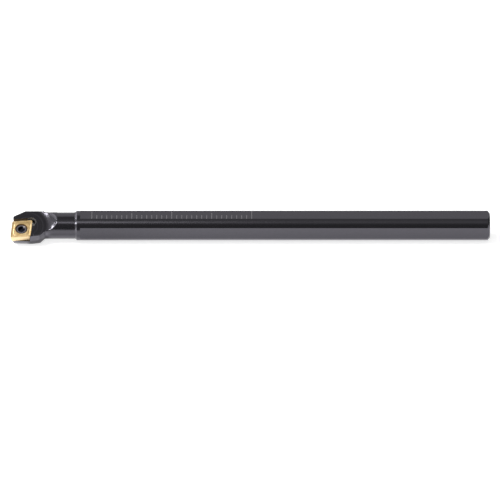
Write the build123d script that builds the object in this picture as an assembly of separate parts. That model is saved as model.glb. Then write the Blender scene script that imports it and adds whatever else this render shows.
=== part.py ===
from build123d import *
from build123d.topology import SkipClean
import math
import os

# An indexable boring bar: a one-piece steel bar, a carbide insert and its clamping screw.
# All lengths are in millimetres and all angles in degrees.
# The bar lies along X with its cutting end at -X, and the insert's nose stands out towards -Y.
# +Z is the way the top flat faces. The origin is on the shank's axis, where its full diameter begins.

# Bar
overall_length = 152.4
shank_reach = 21.1  # from the insert's nose back to the shank's full diameter
shank_diameter = 9.525
shank_flats = 4
flat_depth = 0.5
flat_land = 1.0  # round stretch left between the shoulder and the flats
shoulder_length = 0.6
tail_chamfer = 0.7
neck_diameter = 8.5

# Head, turned first and then milled
head_diameter = 11.9  # at the crown, its widest place
head_front_drop = 0.2  # how far the head's front lies below the crown, on each side
head_shoulder_drop = 0.35
head_crown_reach = 6.5  # from the nose back to the crown
head_crown_radius = 12
head_length = 9.4  # from the nose back to where the head starts to taper
head_back_diameter = 9.1
head_taper_angle = 43
shoulder_edge_radius = 0.7  # where the head turns into its taper
neck_root_radius = 0.9
front_relief_angle = 8
front_set_back = 0.4  # the bar's front face behind the insert's cutting edge
corner_cut_start = 4.7  # from the nose back to where the cut corner leaves the back of the head
corner_cut_angle = 27

# Chip face, milled sloping up behind the nose by a round-cornered end mill that stops in the neck
chip_face_angle = 22
chip_face_rise = 0.05  # chip face above the insert's nose
mill_overrun = 0.5  # from the neck's root back to the end of the flat that the mill leaves
mill_flat_radius = 6
mill_corner_radius = 4
mill_side_offset = 1.75  # the mill's axis from the bar's axis, towards the nose's side
gullet_edge_radius = 0.4
edge_tolerance = 0.001  # how near to the neck's surface an edge counts as lying on it

# Insert
nose_offset = 6.35  # from the bar's axis out to the insert's nose
nose_height = 0.1
rake_angle = 15
lead_angle = 5
point_angle = 80
inscribed_circle = 6.35
insert_thickness = 2.38
insert_clearance_angle = 7
nose_radius = 0.4
insert_bore = 2.8
countersink_diameter = 3.95
cone_angle = 60
cutting_land = 0.14
groove_depth = 0.13
groove_fall_width = 0.42
groove_floor_width = 0.12
groove_rise_width = 0.2
groove_edge_corner = 0.32
groove_floor_corner = 0.2
island_foot_corner = 0.8
island_corner = 0.72
island_drop = 0.02

# Pocket
pocket_gap = 0.03
relief_diameter = 3.2
relief_side_inset = 0.41  # from the insert's sharp corner to the relief hole's centre, along its side edge
relief_front_inset = 1.26  # the same along its front edge

# Clamping screw
thread_diameter = 2.5
thread_gap = 0.02
screw_length = 4.6
screw_head_diameter = 3.45
screw_head_rim = 0.12
screw_edge_break = 0.1
screw_tip_chamfer = 0.31
screw_seat_gap = 0.02
socket_width = 2.35
socket_waist_width = 1.75
socket_flute_radius = 0.5
socket_depth = 0.75
socket_lobes = 6

# Worked out from the sizes above
shank_radius = shank_diameter / 2
neck_radius = neck_diameter / 2
head_radius = head_diameter / 2
head_front_radius = head_radius - head_front_drop
head_shoulder_radius = head_radius - head_shoulder_drop
head_back_radius = head_back_diameter / 2
flat_height = shank_radius - flat_depth
nose_x = -shank_reach
tail_x = nose_x + overall_length
beyond = 2 * head_diameter  # size of the blocks that cut off all there is on one side
cutter_margin = 1  # how far the fitted cutters reach past what they cut


def sin(angle):
    return math.sin(math.radians(angle))


def cos(angle):
    return math.cos(math.radians(angle))


def tan(angle):
    return math.tan(math.radians(angle))


# The insert, its pocket and its screw are drawn with the insert's top level, and the chip face
# is drawn level too. Turning each about the bar's axis by its own angle puts it where it belongs.
face_height = nose_offset * sin(rake_angle) + nose_height * cos(rake_angle)
nose_side = nose_offset * cos(rake_angle) - nose_height * sin(rake_angle)
chip_face_height = nose_offset * sin(chip_face_angle) + nose_height * cos(chip_face_angle) + chip_face_rise
front_angle = lead_angle + point_angle
half_side = inscribed_circle / 2 / sin(point_angle)

# Along the bar, where the head's taper starts, where it ends and where the mill stops
taper_x = nose_x + head_length
neck_root_x = taper_x + (head_shoulder_radius - neck_radius) / tan(head_taper_angle)
mill_x = neck_root_x + mill_overrun - mill_flat_radius
mill_reach = mill_x + mill_flat_radius + mill_corner_radius


def insert_centre():
    # The rounded nose stops short of the sharp corner that the edges would meet in.
    bisector = lead_angle + point_angle / 2
    to_round = nose_radius / sin(point_angle / 2)
    corner_x = nose_x - (to_round * cos(bisector) - nose_radius)
    corner_y = -nose_side - (to_round * sin(bisector) - nose_radius)
    step_x = half_side * (cos(lead_angle) + cos(front_angle))
    step_y = half_side * (sin(lead_angle) + sin(front_angle))
    return Vector(corner_x + step_x, corner_y + step_y, face_height)


def along_edges(side, front):
    # A point by its distances from the insert's centre along its side edge and its front edge.
    return (
        side * cos(lead_angle) + front * cos(front_angle),
        side * sin(lead_angle) + front * sin(front_angle),
    )


def rhombus(inradius, corner_radius):
    half = inradius / sin(point_angle)
    corners = [(-half, -half), (half, -half), (half, half), (-half, half)]
    outline = Polygon(*[along_edges(*corner) for corner in corners], align=None)
    return fillet(outline.vertices(), corner_radius)


def frustum(lower, lower_height, upper, upper_height):
    return loft([Pos(Z=lower_height) * lower, Pos(Z=upper_height) * upper], ruled=True)


def turned(*outline):
    # Turns an outline of (height, radius) points about Z.
    return revolve(Plane.XZ * Polygon(*[(radius, height) for height, radius in outline], align=None), Axis.Z)


def insert_to_bar(shape):
    return Rot(X=rake_angle) * shape


def chip_face_to_bar(shape):
    return Rot(X=chip_face_angle) * shape


def chip_groove():
    edge_radius = inscribed_circle / 2 - cutting_land
    floor_outer = edge_radius - groove_fall_width
    floor_inner = floor_outer - groove_floor_width
    island = floor_inner - groove_rise_width
    pit = frustum(
        rhombus(floor_outer, groove_floor_corner), -groove_depth,
        rhombus(edge_radius, groove_edge_corner), 0,
    )
    return pit - frustum(
        rhombus(floor_inner, island_foot_corner), -groove_depth,
        rhombus(island, island_corner), -island_drop,
    )


def make_insert():
    bore_radius = insert_bore / 2
    rim_radius = countersink_diameter / 2
    cone_depth = (rim_radius - bore_radius) / tan(cone_angle / 2)
    outline = rhombus(inscribed_circle / 2, nose_radius)
    blank = extrude(outline, -insert_thickness, taper=insert_clearance_angle)
    hole = turned(
        (-insert_thickness, 0),
        (-insert_thickness, bore_radius),
        (-cone_depth, bore_radius),
        (0, rim_radius),
        (0, 0),
    )
    body = blank - chip_groove() - hole
    return insert_to_bar(Pos(insert_centre()) * body)


def socket():
    # A six-lobed socket: a round hole less six round ribs.
    rib = Circle(socket_flute_radius)
    ribs = PolarLocations(socket_waist_width / 2 + socket_flute_radius, socket_lobes) * rib
    return extrude(Circle(socket_width / 2) - ribs, -socket_depth)


def make_clamp_screw():
    thread_radius = thread_diameter / 2
    head_radius_top = screw_head_diameter / 2
    slope = tan(cone_angle / 2)
    cone_top = (head_radius_top + screw_seat_gap - countersink_diameter / 2) / slope
    head_top = cone_top + screw_head_rim
    cone_foot = cone_top - (head_radius_top - thread_radius) / slope
    tip = head_top - screw_length
    body = turned(
        (head_top, 0),
        (head_top, head_radius_top - screw_edge_break),
        (head_top - screw_edge_break, head_radius_top),
        (cone_top, head_radius_top),
        (cone_foot, thread_radius),
        (tip + screw_tip_chamfer, thread_radius),
        (tip, thread_radius - screw_tip_chamfer),
        (tip, 0),
    )
    body -= Pos(Z=head_top) * socket()
    return insert_to_bar(Pos(insert_centre()) * body)


def turned_front():
    # The head, the neck, the shoulder and the round land behind it.
    crown_x = nose_x + head_crown_reach
    profile = Polygon(
        (nose_x, 0),
        (nose_x, head_front_radius),
        (crown_x, head_radius),
        (taper_x, head_shoulder_radius),
        (neck_root_x, neck_radius),
        (-shoulder_length, neck_radius),
        (0, shank_radius),
        (flat_land, shank_radius),
        (flat_land, 0),
        align=None,
    )
    for corner, radius in (
        ((crown_x, head_radius), head_crown_radius),
        ((taper_x, head_shoulder_radius), shoulder_edge_radius),
        ((neck_root_x, neck_radius), neck_root_radius),
    ):
        profile = fillet(profile.vertices().sort_by_distance(corner)[0], radius)
    return revolve(profile, Axis.X)


def back_of_head_cutter():
    # Leaves the head's back rounded to its own, smaller diameter.
    length = head_length + (head_shoulder_radius - head_back_radius) / tan(head_taper_angle)
    ring = Circle(head_radius + cutter_margin) - Circle(head_back_radius)
    sleeve = extrude(Plane.YZ * ring, length)
    back_half = Box(length, beyond, beyond, align=(Align.MIN, Align.MIN, Align.CENTER))
    return Pos(X=nose_x) * (sleeve & back_half)


def under_head_cutter():
    return Pos(nose_x, 0, -flat_height) * Box(
        shank_reach - shoulder_length, beyond, beyond, align=(Align.MIN, Align.CENTER, Align.MAX)
    )


def make_shank():
    # The flatted stretch, from the end of the round land to the tail.
    profile = Polygon(
        (flat_land, 0),
        (flat_land, shank_radius),
        (tail_x - tail_chamfer, shank_radius),
        (tail_x, shank_radius - tail_chamfer),
        (tail_x, 0),
        align=None,
    )
    outside = shank_radius + cutter_margin
    past_tail = tail_x + cutter_margin
    waste = Polygon(
        (flat_land, flat_height),
        (past_tail, flat_height),
        (past_tail, outside),
        (flat_land, outside),
        align=None,
    )
    cutter = extrude(Plane.XZ * waste, shank_diameter, both=True)
    flats = [Rot(X=360 / shank_flats * turn) * cutter for turn in range(shank_flats)]
    return revolve(profile, Axis.X) - flats


def gullet_cutter():
    # The end mill where it stops, and the way that it came along the bar from the nose.
    wall = mill_flat_radius + mill_corner_radius
    corner_top = chip_face_height + mill_corner_radius
    top = max(corner_top, head_radius) + cutter_margin
    outline = (
        Line((0, chip_face_height), (mill_flat_radius, chip_face_height))
        + TangentArc((mill_flat_radius, chip_face_height), (wall, corner_top), tangent=(1, 0))
        + Polyline((wall, corner_top), (wall, top), (0, top), (0, chip_face_height))
    )
    half = make_face(outline)
    mill = revolve(Plane.XZ * half, Axis.Z)
    way = extrude(Plane.YZ * (half + mirror(half, Plane.YZ)), nose_x - cutter_margin - mill_x)
    return chip_face_to_bar(Pos(mill_x, -mill_side_offset, 0) * (mill + way))


def break_gullet_edge(bar):
    # Rounds the edge that the gullet makes with the neck, and the smooth edges that lead on from it.
    def on_gullet_edge(edge):
        middle = edge @ 0.5
        off_neck = abs(math.hypot(middle.Y, middle.Z) - neck_radius)
        return neck_root_x < middle.X < mill_reach and off_neck < edge_tolerance

    curves = bar.edges().filter_by(GeomType.BSPLINE)
    return fillet(curves.filter_by(on_gullet_edge), gullet_edge_radius)


def front_cutter():
    # The front face stands back from the insert's front edge and leans away below it.
    centre = insert_centre()
    outward = Vector(-sin(front_angle), cos(front_angle), 0)
    edge = centre + outward * (inscribed_circle / 2 - front_set_back)
    leaning = outward * cos(front_relief_angle) - Vector(0, 0, sin(front_relief_angle))
    waste = Box(beyond, beyond, beyond, align=(Align.CENTER, Align.CENTER, Align.MIN))
    return insert_to_bar(Plane(origin=edge, z_dir=leaning) * waste)


def corner_cutter():
    back_edge = math.sqrt(head_back_radius**2 - chip_face_height**2)
    start = Vector(nose_x + corner_cut_start, back_edge, chip_face_height)
    outward = Vector(-sin(corner_cut_angle), cos(corner_cut_angle), 0)
    waste = Box(beyond, beyond, beyond, align=(Align.CENTER, Align.CENTER, Align.MIN))
    return chip_face_to_bar(Plane(origin=start, z_dir=outward) * waste)


def pocket_cutter():
    # The insert's shape with its two free sides thrown open, drafted like its flanks.
    headroom = inscribed_circle * tan(chip_face_angle) + chip_face_rise
    depth = insert_thickness + headroom
    wall = inscribed_circle / 2 + pocket_gap + headroom * tan(insert_clearance_angle)
    inner = wall / sin(point_angle)
    outer = -beyond
    corners = [(outer, outer), (inner, outer), (inner, inner), (outer, inner)]
    opening = Polygon(*[along_edges(*corner) for corner in corners], align=None)
    pocket = extrude(Pos(Z=headroom) * opening, -depth, taper=insert_clearance_angle)
    middle = along_edges(half_side - relief_side_inset, half_side - relief_front_inset)
    relief = Pos(*middle, headroom) * Cylinder(
        relief_diameter / 2, depth, align=(Align.CENTER, Align.CENTER, Align.MAX)
    )
    thread = Cylinder(
        thread_diameter / 2 + thread_gap, head_diameter, align=(Align.CENTER, Align.CENTER, Align.MAX)
    )
    return insert_to_bar(Pos(insert_centre()) * (pocket + relief + thread))


def make_bar():
    front = turned_front() - back_of_head_cutter() - under_head_cutter()
    front -= front_cutter()
    front -= corner_cutter()
    front -= gullet_cutter()
    front = break_gullet_edge(front)
    front -= pocket_cutter()
    # Faces aren't merged here, so the round land stays a full ring of its own ahead of the flats.
    with SkipClean():
        return front + make_shank()


os.makedirs("parts", exist_ok=True)
pieces = {"bar": make_bar(), "insert": make_insert(), "clamp_screw": make_clamp_screw()}
for name, piece in pieces.items():
    export_step(piece, f"parts/{name}.step")
    size = piece.bounding_box().size
    print(f"{name}: {size.X:.2f} x {size.Y:.2f} x {size.Z:.2f} mm, {piece.volume:.1f} mm3")
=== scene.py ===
import math

import bmesh
import bpy
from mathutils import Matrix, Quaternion, Vector


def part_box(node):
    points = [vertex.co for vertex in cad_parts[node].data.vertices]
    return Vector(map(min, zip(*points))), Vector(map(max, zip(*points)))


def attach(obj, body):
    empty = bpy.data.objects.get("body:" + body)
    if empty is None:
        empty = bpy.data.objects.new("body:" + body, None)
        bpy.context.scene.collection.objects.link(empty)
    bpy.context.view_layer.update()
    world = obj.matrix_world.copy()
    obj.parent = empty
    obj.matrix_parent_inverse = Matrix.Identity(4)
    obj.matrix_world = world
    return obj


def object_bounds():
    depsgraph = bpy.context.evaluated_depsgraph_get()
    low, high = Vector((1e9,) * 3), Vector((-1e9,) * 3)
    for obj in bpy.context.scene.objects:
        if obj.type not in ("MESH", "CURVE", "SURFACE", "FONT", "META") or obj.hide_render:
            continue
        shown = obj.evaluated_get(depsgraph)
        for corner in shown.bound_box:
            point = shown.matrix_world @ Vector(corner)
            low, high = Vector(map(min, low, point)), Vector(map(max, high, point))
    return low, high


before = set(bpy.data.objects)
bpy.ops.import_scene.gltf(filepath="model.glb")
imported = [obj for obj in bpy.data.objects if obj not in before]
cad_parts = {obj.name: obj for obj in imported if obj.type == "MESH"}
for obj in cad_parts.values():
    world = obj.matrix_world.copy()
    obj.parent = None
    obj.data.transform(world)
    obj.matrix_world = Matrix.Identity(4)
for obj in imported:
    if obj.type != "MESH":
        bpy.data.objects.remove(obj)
cadLow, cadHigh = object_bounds()
mm = 0.001
white = (1, 1, 1, 1)
print("frame loaded")


class Wire:
    # A shader socket that Python's operators can do sums with.
    def __init__(self, shader, socket):
        self.shader = shader
        self.socket = socket

    def __add__(self, other):
        return self.shader.maths("ADD", self, other)

    def __radd__(self, other):
        return self.shader.maths("ADD", other, self)

    def __sub__(self, other):
        return self.shader.maths("SUBTRACT", self, other)

    def __rsub__(self, other):
        return self.shader.maths("SUBTRACT", other, self)

    def __mul__(self, other):
        return self.shader.maths("MULTIPLY", self, other)

    def __rmul__(self, other):
        return self.shader.maths("MULTIPLY", other, self)

    def __truediv__(self, other):
        return self.shader.maths("DIVIDE", self, other)

    def __rtruediv__(self, other):
        return self.shader.maths("DIVIDE", other, self)

    def __pow__(self, other):
        return self.shader.maths("POWER", self, other)

    def __rpow__(self, other):
        return self.shader.maths("POWER", other, self)

    def __gt__(self, other):
        return self.shader.maths("GREATER_THAN", self, other)

    def __lt__(self, other):
        return self.shader.maths("LESS_THAN", self, other)


class Shader:
    # The node tree of a material or of the world.
    def __init__(self, owner):
        owner.use_nodes = True
        self.tree = owner.node_tree
        self.tree.nodes.clear()

    def node(self, kind, settings=None, sockets=None, output=0):
        made = self.tree.nodes.new(kind)
        for name, value in (settings or {}).items():
            if name == "stops":
                self.setStops(made.color_ramp, value)
            else:
                setattr(made, name, value)
        for name, value in (sockets or {}).items():
            if isinstance(value, Wire):
                self.tree.links.new(value.socket, made.inputs[name])
            else:
                made.inputs[name].default_value = value
        return Wire(self, made.outputs[output]) if made.outputs else None

    def setStops(self, ramp, stops):
        while len(ramp.elements) < len(stops):
            ramp.elements.new(1)
        for element, (place, colour) in zip(ramp.elements, stops):
            element.position = place
            element.color = (*colour, 1)

    def maths(self, operation, *values):
        return self.node("ShaderNodeMath", {"operation": operation}, dict(enumerate(values)))

    def rise(self, value, low, high, start=0.0, end=1.0):
        # Goes smoothly from start to end while value goes from low to high.
        return self.node("ShaderNodeMapRange", {"interpolation_type": "SMOOTHSTEP"}, {
            "Value": value, "From Min": low, "From Max": high, "To Min": start, "To Max": end,
        })

    def fall(self, value, low, high):
        return self.rise(value, low, high, 1.0, 0.0)

    def band(self, value, ends, soft):
        # 1 from one end to the other and 0 beyond them, with soft borders.
        low, high = ends
        return self.rise(value, low - soft, low + soft) * self.fall(value, high - soft, high + soft)

    def reach(self, x, y, middle):
        # How far a place is from the middle of something round.
        return ((x - middle[0]) ** 2 + (y - middle[1]) ** 2) ** 0.5

    def place(self):
        # Where the surface is, in millimetres.
        here = self.node("ShaderNodeTexCoord", output="Object")
        scaled = {"Vector": here, "Scale": 1 / mm}
        return self.node("ShaderNodeVectorMath", {"operation": "SCALE"}, scaled)

    def split(self, vector):
        return [self.node("ShaderNodeSeparateXYZ", {}, {"Vector": vector}, axis) for axis in "XYZ"]

    def join(self, x, y, z):
        return self.node("ShaderNodeCombineXYZ", {}, {"X": x, "Y": y, "Z": z})

    def tilted(self, place, degrees):
        # Along the bar, across it and above it, for a face turned about the bar's length.
        x, y, z = self.split(place)
        turn = math.radians(degrees)
        across = y * math.cos(turn) + z * math.sin(turn)
        above = z * math.cos(turn) - y * math.sin(turn)
        return x, across, above

    def noise(self, vector, scale, detail, roughness):
        return self.node("ShaderNodeTexNoise", {}, {
            "Vector": vector, "Scale": scale, "Detail": detail, "Roughness": roughness,
        })

    def vary(self, level, noise, spread):
        # Lets a noise, which swings about one half, move a level up and down.
        return level + (noise - 0.5) * spread

    def blend(self, factor, first, second):
        # Mixes two colours, on the Mix node's colour sockets. A Math node would turn them grey.
        return self.node("ShaderNodeMix", {"data_type": "RGBA"}, {
            "Factor": factor, 6: first, 7: second,
        }, 2)

    def bump(self, height, distance, under=None):
        # Fine relief, on top of another one where that is given. The distance is in metres.
        sockets = {"Height": height, "Distance": distance}
        if under:
            sockets["Normal"] = under
        return self.node("ShaderNodeBump", {}, sockets)

    def surface(self, colour, metallic, roughness, normal):
        self.finish(self.node("ShaderNodeBsdfPrincipled", {}, {
            "Base Color": colour, "Metallic": metallic, "Roughness": roughness, "Normal": normal,
        }))

    def finish(self, surface, kind="ShaderNodeOutputMaterial"):
        self.node(kind, {}, {"Surface": surface})


def newShader(name):
    material = bpy.data.materials.new(name)
    return material, Shader(material)


def dress(node, material):
    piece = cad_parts[node]
    piece.data.materials.clear()
    piece.data.materials.append(material)


# How the insert lies: the lean of its seat in degrees, and the screw's middle along and across it.
# Places in the materials are in millimetres.
seat = {
    "rake": 15,
    "screwMiddle": (-17.647, -2.655),
}


# Black oxide on ground, turned and milled steel
barLook = {
    "darkColour": (0.086, 0.083, 0.096, 1),
    "paleColour": (0.110, 0.106, 0.120, 1),
    "mottle": {"scale": 0.9, "detail": 4, "roughness": 0.6},
    "mottleShare": 0.6,
    "roughness": 0.18,
    "roughnessSpread": 0.07,
    "shankStart": 0.0,
    "streaks": {"scale": 1, "detail": 3, "roughness": 0.6},
    "grindingScale": (0.05, 7),  # how fast the lines change along the bar and across it
    "turningScale": (9, 0.3),
    "streakDepth": 0.004 * mm,
    "chipFaceAngle": 22,
    "chipFaceHeight": (2.4, 2.6),
    "millMiddle": (-15.75, -1.75),
    "millStopX": -9.9,
    "millRings": {"scale": 1.7, "detail": 1, "roughness": 0.5},
    "millRingRange": (0.50, 0.62),
    # paler ring lines: partly the mill marks themselves, partly painted sheen caught on them
    "millRingSheenColour": (0.150, 0.146, 0.165, 1),
    "millRingDepth": 0.012 * mm,
    "reliefMiddle": (-14.64, -0.48),
    "reliefRange": (1.61, 1.68),
    "reliefMouth": (1.2, 1.8),
    "reliefFoot": (-0.10, 0.10),
    # the relief's mouth colour is partly bare steel and partly painted light; its foot colour is a
    # painted highlight
    "reliefBareAndLitColour": (0.18, 0.175, 0.17, 1),
    "reliefFootHighlightColour": (0.92, 0.92, 0.90, 1),
    "reliefMetallic": 0.25,
    "mattedEdges": [(-8.6, -6.3), (-0.75, 0.02)],  # stoned stretches at the gullet and shoulder
    "mattedAcross": (-2.3, -1.5),
    "mattedAbove": 3.6,
    "mattedRoughness": 0.40,
}


def makeBarSteel():
    look = barLook
    material, shader = newShader("blackOxideSteel")
    place = shader.place()
    x, y, z = shader.split(place)

    # The shank was ground along its length and the rest was turned.
    grinding, turning = (
        shader.noise(shader.join(x * along, y * across, z * across), **look["streaks"])
        for along, across in (look["grindingScale"], look["turningScale"])
    )
    onShank = x > look["shankStart"]
    streaks = grinding * onShank + turning * (1 - onShank)
    stoned = sum((x > start) * (x < end) for start, end in look["mattedEdges"])
    matted = shader.rise(y, *look["mattedAcross"]) * (z > look["mattedAbove"]) * stoned

    # The drilled relief at the pocket's corner is painted paler at its mouth, partly as bare steel
    # and partly as painted light on its lit wall, and near white at its foot as a painted
    # highlight.
    x, across, above = shader.tilted(place, seat["rake"])
    drilled = shader.fall(shader.reach(x, across, look["reliefMiddle"]), *look["reliefRange"])
    footHighlight = drilled * shader.fall(above, *look["reliefFoot"])
    bareAndHighlight = drilled * shader.rise(above, *look["reliefMouth"]) + footHighlight
    bareAndHighlightColour = shader.blend(footHighlight, look["reliefBareAndLitColour"], look["reliefFootHighlightColour"])

    # The end mill left rings on the chip face, about the place where it stopped.
    x, across, above = shader.tilted(place, look["chipFaceAngle"])
    fromMill = shader.reach(x, across, look["millMiddle"])
    rings = shader.noise(shader.join(fromMill, 0.0, 0.0), **look["millRings"])
    low, high = look["chipFaceHeight"]
    onFlat = (above > low) * (above < high) * (x < look["millStopX"])
    ringLinesAndSheen = shader.rise(rings, *look["millRingRange"]) * onFlat

    share = look["mottleShare"]
    mottle = shader.noise(place, **look["mottle"]) * share + streaks * (1 - share)
    colour = shader.blend(mottle, look["darkColour"], look["paleColour"])
    # The ring lines are painted paler, partly as the marks and partly as painted sheen on them.
    colour = shader.blend(ringLinesAndSheen, colour, look["millRingSheenColour"])
    colour = shader.blend(bareAndHighlight, colour, bareAndHighlightColour)
    roughness = shader.vary(look["roughness"], streaks, look["roughnessSpread"])
    roughness = roughness + (matted + bareAndHighlight) * look["mattedRoughness"]
    fine = shader.bump(streaks, look["streakDepth"])
    milled = shader.bump(rings * onFlat, look["millRingDepth"], fine)
    shader.surface(colour, 1 - bareAndHighlight * (1 - look["reliefMetallic"]), roughness, milled)
    return material


# Gold coloured hard coating on pressed and ground carbide
insertLook = {
    "goldColour": (0.66, 0.45, 0.19, 1),
    "paleGoldColour": (0.80, 0.59, 0.31, 1),
    # the flank colour is painted light on the flanks
    "flankLightColour": (0.96, 0.73, 0.43, 1),
    # the hole colour is painted shade in the countersink round the screw
    "countersinkShadeColour": (0.14, 0.075, 0.025, 1),
    "top": 1.74,
    "flankLightRange": (0.10, 0.22),  # how far below the top the flanks' colour begins
    "holeShadeRange": (1.94, 2.02),
    "mottle": {"scale": 0.8, "detail": 4, "roughness": 0.6},
    "mottleRange": (0.35, 0.65),
    "metallic": 0.45,
    "roughness": 0.48,
    "roughnessSpread": 0.12,
    "grain": {"scale": 14, "detail": 3, "roughness": 0.6},
    "grainDepth": 0.006 * mm,
}


def makeInsertCoating():
    look = insertLook
    material, shader = newShader("goldCoating")
    place = shader.place()
    x, across, above = shader.tilted(place, seat["rake"])
    mottle = shader.rise(shader.noise(place, **look["mottle"]), *look["mottleRange"])
    grain = shader.noise(place, **look["grain"])
    # The flanks are painted paler than the top, as painted light on them, and the countersink round
    # the screw's hole is painted dark brown, as painted shade.
    paintedFlankLight = shader.rise(look["top"] - above, *look["flankLightRange"])
    clearOfHoleShade = shader.rise(shader.reach(x, across, seat["screwMiddle"]), *look["holeShadeRange"])
    colour = shader.blend(mottle, look["goldColour"], look["paleGoldColour"])
    colour = shader.blend(paintedFlankLight, colour, look["flankLightColour"])
    # Painted shade: the countersink round the screw's hole is painted dark brown.
    colour = shader.blend(clearOfHoleShade, look["countersinkShadeColour"], colour)
    roughness = shader.vary(look["roughness"], grain, look["roughnessSpread"])
    shader.surface(colour, look["metallic"], roughness, shader.bump(grain, look["grainDepth"]))
    return material


# Blackened screw steel
screwLook = {
    "darkColour": (0.040, 0.039, 0.058, 1),
    "paleColour": (0.070, 0.068, 0.090, 1),
    "rimColour": (0.40, 0.37, 0.41, 1),
    "rimInner": (1.12, 1.24),
    "rimOuter": (1.56, 1.64),
    # a painted highlight at one corner of the rim
    "highlightColour": (0.60, 0.55, 0.54, 1),
    "highlightOffset": (0.85, 0.98),  # from the screw's middle
    "highlightRange": (0.24, 0.44),
    "highlightMetallic": 0.3,
    "mottle": {"scale": 2.5, "detail": 4, "roughness": 0.6},
    "roughness": 0.26,
    "roughnessSpread": 0.10,
    "grain": {"scale": 22, "detail": 2, "roughness": 0.5},
    "grainDepth": 0.003 * mm,
}


def makeScrewSteel():
    look = screwLook
    material, shader = newShader("blackScrewSteel")
    place = shader.place()
    x, across = shader.tilted(place, seat["rake"])[:2]
    grain = shader.noise(place, **look["grain"])
    # The rim round the socket is paler, and one spot at its corner carries a painted highlight.
    middle = seat["screwMiddle"]
    fromMiddle = shader.reach(x, across, middle)
    rim = shader.rise(fromMiddle, *look["rimInner"]) * shader.fall(fromMiddle, *look["rimOuter"])
    corner = [centre + offset for centre, offset in zip(middle, look["highlightOffset"])]
    paintedHighlight = shader.fall(shader.reach(x, across, corner), *look["highlightRange"])
    mottle = shader.noise(place, **look["mottle"])
    colour = shader.blend(mottle, look["darkColour"], look["paleColour"])
    colour = shader.blend(rim, colour, look["rimColour"])
    colour = shader.blend(paintedHighlight, colour, look["highlightColour"])
    metallic = 1 - paintedHighlight * (1 - look["highlightMetallic"])
    roughness = shader.vary(look["roughness"], grain, look["roughnessSpread"])
    shader.surface(colour, metallic, roughness, shader.bump(grain, look["grainDepth"]))
    return material


dress("bar", makeBarSteel())
dress("insert", makeInsertCoating())
dress("clamp_screw", makeScrewSteel())
print("steel, coating and screw finished")


# Depth graduations, marked with a laser across the edge of the top flat
graduations = {
    "count": 33,
    "first": 4.75 * mm,
    "spacing": 25.4 / 16 * mm,
    "marksToInch": 16,
    "marksToHalf": 8,
    "width": 0.2 * mm,
    "height": 0.02 * mm,
    "proud": 0.008 * mm,
    "flatTop": 4.2625 * mm,
    "nearEdge": -2.12 * mm,
    "shortLength": 1.9 * mm,
    "halfLength": 3.0 * mm,
    "inchLength": 3.9 * mm,
    "edgeBreak": 0.003 * mm,
    "colour": (0.19, 0.185, 0.195, 1),
    "paleColour": (0.27, 0.26, 0.27, 1),
    "metallic": 0.6,
    "roughness": 0.5,
    "roughnessSpread": 0.2,
    "dots": {"scale": 9, "detail": 3, "roughness": 0.6},
    "dotRange": (0.3, 0.7),
    "dotDepth": 0.004 * mm,
}


def makeMarkFinish():
    look = graduations
    material, shader = newShader("laserMark")
    dots = shader.noise(shader.place(), **look["dots"])
    paler = shader.rise(dots, *look["dotRange"])
    colour = shader.blend(paler, look["colour"], look["paleColour"])
    roughness = shader.vary(look["roughness"], dots, look["roughnessSpread"])
    shader.surface(colour, look["metallic"], roughness, shader.bump(dots, look["dotDepth"]))
    return material


def makeMark(length):
    # One bar of the scale, from the flat's near edge inwards, with its upper edges broken.
    look = graduations
    centreZ = look["flatTop"] + look["proud"] - look["height"] / 2
    centre = (look["first"], look["nearEdge"] + length / 2, centreZ)
    bpy.ops.object.select_all(action="DESELECT")
    bpy.ops.mesh.primitive_cube_add(size=1, location=centre)
    mark = bpy.context.object
    mark.scale = (look["width"], length, look["height"])
    bpy.ops.object.transform_apply(location=True, rotation=True, scale=True)
    bpy.ops.object.mode_set(mode="EDIT")
    bpy.ops.mesh.select_all(action="DESELECT")
    bpy.ops.mesh.select_mode(type="FACE")
    shape = bmesh.from_edit_mesh(mark.data)
    for face in shape.faces:
        face.select_set(face.normal.z > 0.5)  # the face that points up
    bmesh.update_edit_mesh(mark.data)
    bpy.ops.mesh.bevel(offset=look["edgeBreak"], segments=1)
    bpy.ops.object.mode_set(mode="OBJECT")
    return mark


def makeGraduations():
    look = graduations
    lengths = ("shortLength", "halfLength", "inchLength")
    masters = {length: makeMark(look[length]) for length in lengths}
    marks = []
    for number in range(look["count"]):
        length = "shortLength"
        if number % look["marksToInch"] == 0:
            length = "inchLength"
        elif number % look["marksToHalf"] == 0:
            length = "halfLength"
        mark = masters[length].copy()
        mark.data = masters[length].data.copy()
        bpy.context.collection.objects.link(mark)
        mark.location.x = number * look["spacing"]
        marks.append(mark)
    for master in masters.values():
        bpy.data.objects.remove(master)
    bpy.ops.object.select_all(action="DESELECT")
    for mark in marks:
        mark.select_set(True)
    scale = marks[0]
    bpy.context.view_layer.objects.active = scale
    bpy.ops.object.join()
    bpy.ops.object.transform_apply(location=True, rotation=True, scale=True)
    scale.name = "graduations"
    scale.data.materials.append(makeMarkFinish())
    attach(scale, "root")


makeGraduations()
print("graduations marked")


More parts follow.
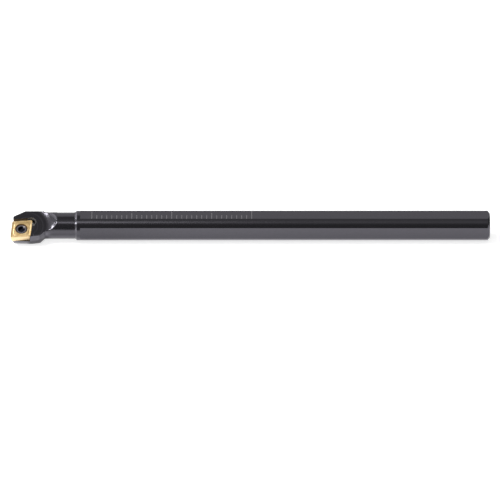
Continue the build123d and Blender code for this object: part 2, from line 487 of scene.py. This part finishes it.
# The floor and the sky. Lengths are in metres. The sky's levels go from the front horizon over
# the top to the back one, in degrees, and change towards the bar's two ends.
studio = {
    "floorSize": 3.0,
    "floorColour": (0.80, 0.80, 0.80, 1),
    "floorGlow": 0.70,
    "reflectedGlow": 0.54,
    "reflectedRange": (-0.060, -0.012),
    "neckRange": (-0.002, 0.040),
    "neckShare": 0.60,
    # glowing patches that only reflections see: painted reflections
    "reflectionCards": {
        "besideHead": {"along": (-0.040, -0.009), "across": (-0.0135, -0.0062), "glow": 0.85},
        "underTip": {"along": (-0.040, -0.0155), "across": (-0.0062, 0.020), "glow": 0.80},
        "underShank": {"along": (-0.009, 0.160), "across": (-0.0066, 0.020), "glow": 0.45},
    },
    "reflectionCardSoftness": 0.0008,
    "sky": [
        (0, 0.12), (40, 0.14), (50, 0.20), (57, 0.38), (67, 0.38), (74, 0.31),
        (90, 0.24), (112, 0.19), (120, 0.33), (126, 0.72), (180, 0.72),
    ],
    "skyEnds": {
        "cuttingEnd": {"side": -1, "range": (0.0, 0.5), "level": 0.70},
        "tailEnd": {"side": 1, "range": (0.6, 0.9), "level": 0.16},
    },
}


def makeFloor():
    look = studio
    bpy.ops.object.select_all(action="DESELECT")
    bpy.ops.mesh.primitive_plane_add(size=look["floorSize"], location=(0, 0, cadLow.z))
    floor = bpy.context.object
    floor.name = "floor"
    bpy.ops.object.transform_apply(location=True, rotation=True, scale=True)

    # The floor's glow in what the steel mirrors is dimmer far off and beside the neck, and brighter
    # glowing cards lie by the bar; only reflections see these glows, which are painted reflections.
    material, shader = newShader("paleFloor")
    x, y = shader.split(shader.node("ShaderNodeTexCoord", output="Object"))[:2]
    level = shader.rise(y, *look["reflectedRange"]) * look["reflectedGlow"]
    level = level * shader.rise(x, *look["neckRange"], look["neckShare"], 1)
    for reflectionCard in look["reflectionCards"].values():
        spread = shader.band(x, reflectionCard["along"], look["reflectionCardSoftness"])
        depth = shader.band(y, reflectionCard["across"], look["reflectionCardSoftness"])
        level = level + spread * depth * reflectionCard["glow"]
    camera, glossy, transmission = (
        shader.node("ShaderNodeLightPath", output=f"Is {ray} Ray")
        for ray in ("Camera", "Glossy", "Transmission")
    )
    strength = camera * look["floorGlow"] + (glossy + transmission) * level
    matte = shader.node("ShaderNodeBsdfDiffuse", {}, {"Color": look["floorColour"]})
    glow = shader.node("ShaderNodeEmission", {}, {"Color": white, "Strength": strength})
    shader.finish(shader.node("ShaderNodeAddShader", {}, {0: matte, 1: glow}))
    floor.data.materials.append(material)


def makeWorld():
    look = studio
    world = bpy.data.worlds.new("studioLight")
    bpy.context.scene.world = world
    shader = Shader(world)
    x, y, z = shader.split(shader.node("ShaderNodeTexCoord", output="Generated"))
    over = shader.maths("ARCTAN2", z, y * -1) / math.pi
    stops = [(degrees / 180, (level, level, level)) for degrees, level in look["sky"]]
    level = shader.node("ShaderNodeValToRGB", {"stops": stops}, {"Fac": over})
    for end in look["skyEnds"].values():
        nearEnd = shader.rise(x * end["side"], *end["range"])
        level = level + nearEnd * (end["level"] - level)
    camera = shader.node("ShaderNodeLightPath", output="Is Camera Ray")
    strength = camera + (1 - camera) * level
    light = shader.node("ShaderNodeBackground", {}, {"Color": white, "Strength": strength})
    shader.finish(light, "ShaderNodeOutputWorld")


def standOff(name, thing, place, target):
    # Puts a lamp or the camera off from the target and turns it to face it. Azimuth 0 is towards
    # the tail, and 90 towards the back.
    turn, lift = math.radians(place["azimuth"]), math.radians(place["elevation"])
    flat = Vector((math.cos(turn), math.sin(turn), 0))
    away = flat * math.cos(lift) + Vector((0, 0, math.sin(lift)))
    roll = Quaternion((0, 0, 1), math.radians(place.get("roll", 0)))
    holder = bpy.data.objects.new(name, thing)
    bpy.context.collection.objects.link(holder)
    holder.location = target + away * place["distance"]
    holder.rotation_euler = ((-away).to_track_quat("-Z", "Y") @ roll).to_euler()
    return holder


# Softboxes round the cutting end
lamps = {
    "backLeftBox": {
        "azimuth": 144, "elevation": 32, "distance": 0.7, "roll": 12,
        "size": (0.18, 0.24), "power": 2.6,
    },
    "lowBackLeftBox": {
        "azimuth": 152, "elevation": 14.5, "distance": 0.7,
        "size": (0.05, 0.05), "power": 0.14,
    },
    "leftBox": {
        "azimuth": 177, "elevation": 12, "distance": 0.7,
        "size": (0.08, 0.08), "power": 0.30,
    },
    "highLeftBox": {
        "azimuth": 206.5, "elevation": 57, "distance": 0.7, "roll": -12,
        "size": (0.15, 0.26), "power": 1.9,
    },
    "frontHighBox": {
        "azimuth": 270, "elevation": 62, "distance": 0.6,
        "size": (0.06, 0.14), "power": 0.035,
    },
    "fillBox": {
        "azimuth": 262, "elevation": 30, "distance": 1.2,
        "size": (0.8, 0.5), "power": 2.0, "matteOnly": True,
    },
}


def makeLamps():
    low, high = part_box("insert")
    for name, lamp in lamps.items():
        light = bpy.data.lights.new(name, "AREA")
        light.shape = "RECTANGLE"
        light.size, light.size_y = lamp["size"]
        light.energy = lamp["power"]
        holder = standOff(name, light, lamp, (low + high) / 2)
        holder.visible_camera = False
        holder.visible_glossy = not lamp.get("matteOnly", False)


# The camera is far off, so the shank keeps its height along the whole picture.
view = {
    "azimuth": 270,
    "elevation": 37,
    "distance": 2.5,
    "target": (0.055013, -0.004692, -0.006226),
    "lens": 565.7,
    "sensor": 36,
}


def makeCamera():
    camera = bpy.data.cameras.new("photoView")
    camera.sensor_width = view["sensor"]
    camera.lens = view["lens"]
    bpy.context.scene.camera = standOff("photoView", camera, view, Vector(view["target"]))


makeFloor()
makeWorld()
makeLamps()
makeCamera()
bpy.context.scene.view_settings.view_transform = "Standard"
print("floor, light and camera placed")
